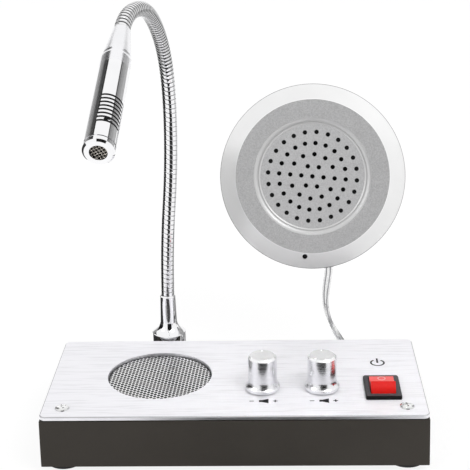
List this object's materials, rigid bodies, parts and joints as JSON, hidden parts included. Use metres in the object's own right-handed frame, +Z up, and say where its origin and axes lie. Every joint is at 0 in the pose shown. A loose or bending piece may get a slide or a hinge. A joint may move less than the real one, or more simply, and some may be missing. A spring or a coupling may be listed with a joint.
{
  "type": "teller window intercom",
  "caption": "Desk unit with loudspeaker, volume knobs, rocker switch and gooseneck microphone, wired to a round outer speaker unit that sticks to the far side of a counter window.",
  "frame": {"origin": "on the counter, under the middle of the desk unit", "axes": "+Z up; +X to the teller's right; +Y from the teller towards the window, so the controls face -Y"},
  "size_m": [0.161, 0.2064, 0.1916],
  "materials": {
    "dark_housing": "fine moulded texture",
    "brushed_plate": "brushed side to side",
    "bright_steel": "plated",
    "black_rubber": "matt",
    "grille_metal": "perforated sheet",
    "pressed_steel": "pressed",
    "speaker_paper": "pulp",
    "magnet_iron": "sintered",
    "black_plastic": "moulded",
    "control_case": "moulded",
    "brass_fitting": "plated",
    "turned_aluminium": "turned",
    "switch_black": "moulded",
    "rocker_red": "moulded",
    "board_green": "solder mask",
    "capacitor_sleeve": "sleeve",
    "chrome_plate": "polished",
    "chrome_hose": "wound wire",
    "mic_mesh_wire": "woven wire",
    "foam": "open-cell foam",
    "capsule_can": "drawn can",
    "silver_case": "silver paint",
    "grey_case": "moulded",
    "silver_disc": "fine grained",
    "adhesive_foam": "foam tape",
    "clear_jacket": "clear jacket over tinned strands",
    "tie_band": "strap"
  },
  "bodies": {
    "desk_unit": {"base_housing": "dark_housing", "top_panel": "brushed_plate", "panel_screws": "bright_steel", "rear_tongues": "bright_steel", "rubber_feet": "black_rubber", "foot_screws": "bright_steel", "speaker_grille": "grille_metal", "speaker_basket": "pressed_steel", "speaker_cone": "speaker_paper", "speaker_magnet": "magnet_iron", "speaker_clamps": "black_plastic", "volume_control_left": "control_case", "volume_control_right": "control_case", "control_nuts": "bright_steel", "switch_body": "switch_black", "switch_terminals": "brass_fitting", "main_circuit_board": "board_green", "board_screws": "bright_steel", "electrolytic_capacitors": "capacitor_sleeve", "amplifier_chips": "black_plastic", "power_socket": "black_plastic", "lead_socket": "black_plastic", "lead_socket_nut": "bright_steel", "neck_bracket": "dark_housing", "bracket_screws": "bright_steel", "neck_flange": "chrome_plate", "neck_nut": "bright_steel", "gooseneck_link_0": "chrome_hose", "outer_front": "silver_case", "outer_back": "grey_case", "outer_screws": "bright_steel", "adhesive_pad": "adhesive_foam", "outer_grille": "silver_disc", "outer_speaker_basket": "pressed_steel", "outer_speaker_cone": "speaker_paper", "outer_speaker_magnet": "magnet_iron", "outer_mic_capsule": "capsule_can", "cord_grommet": "black_rubber", "cord_drop": "clear_jacket", "cord_tail": "clear_jacket", "cord_hank": "clear_jacket", "cord_tie": "tie_band", "cord_plug": "black_plastic"},
    "left_knob": {"knob_left": "turned_aluminium", "control_shaft_left": "brass_fitting"},
    "right_knob": {"knob_right": "turned_aluminium", "control_shaft_right": "brass_fitting"},
    "power_rocker": {"rocker": "rocker_red"},
    "neck_1": {"gooseneck_link_1": "chrome_hose"},
    "neck_2": {"gooseneck_link_2": "chrome_hose"},
    "neck_3": {"gooseneck_link_3": "chrome_hose"},
    "neck_4": {"gooseneck_link_4": "chrome_hose"},
    "neck_5": {"gooseneck_link_5": "chrome_hose"},
    "neck_6": {"gooseneck_link_6": "chrome_hose", "mic_tail": "chrome_plate", "mic_barrel": "chrome_plate", "mic_front_ring": "chrome_plate", "mic_mesh": "mic_mesh_wire", "mic_windscreen": "foam", "mic_capsule": "capsule_can"}
  },
  "joints": [
    {"name": "left_volume", "type": "hinge", "parent": "desk_unit", "child": "left_knob", "pos_m": [0.0118, -0.0123, 0.026], "axis": [0, 0, 1], "range_deg": [-150, 150]},
    {"name": "right_volume", "type": "hinge", "parent": "desk_unit", "child": "right_knob", "pos_m": [0.037, -0.0123, 0.026], "axis": [0, 0, 1], "range_deg": [-150, 150]},
    {"name": "power_switch", "type": "hinge", "parent": "desk_unit", "child": "power_rocker", "pos_m": [0.0625, -0.0134, 0.0251], "axis": [1, 0, 0], "range_deg": [0, 30]},
    {"name": "neck_bend_1", "type": "hinge", "parent": "desk_unit", "child": "neck_1", "pos_m": [-0.0321, 0.0464, 0.06175], "axis": [1, 0, 0], "range_deg": [-20, 20]},
    {"name": "neck_bend_2", "type": "hinge", "parent": "neck_1", "child": "neck_2", "pos_m": [-0.0302, 0.0466, 0.0905], "axis": [0, 1, 0], "range_deg": [-20, 20]},
    {"name": "neck_bend_3", "type": "hinge", "parent": "neck_2", "child": "neck_3", "pos_m": [-0.02845, 0.0468, 0.121], "axis": [1, 0, 0], "range_deg": [-20, 20]},
    {"name": "neck_bend_4", "type": "hinge", "parent": "neck_3", "child": "neck_4", "pos_m": [-0.02835, 0.0422, 0.148], "axis": [0, 0.9326, 0.361], "range_deg": [-20, 20]},
    {"name": "neck_bend_5", "type": "hinge", "parent": "neck_4", "child": "neck_5", "pos_m": [-0.0294, 0.0266, 0.169], "axis": [1, 0, 0], "range_deg": [-20, 20]},
    {"name": "neck_bend_6", "type": "hinge", "parent": "neck_5", "child": "neck_6", "pos_m": [-0.0314, 0.0041, 0.18315], "axis": [0, 0.4108, 0.9117], "range_deg": [-20, 20]}
  ]
}
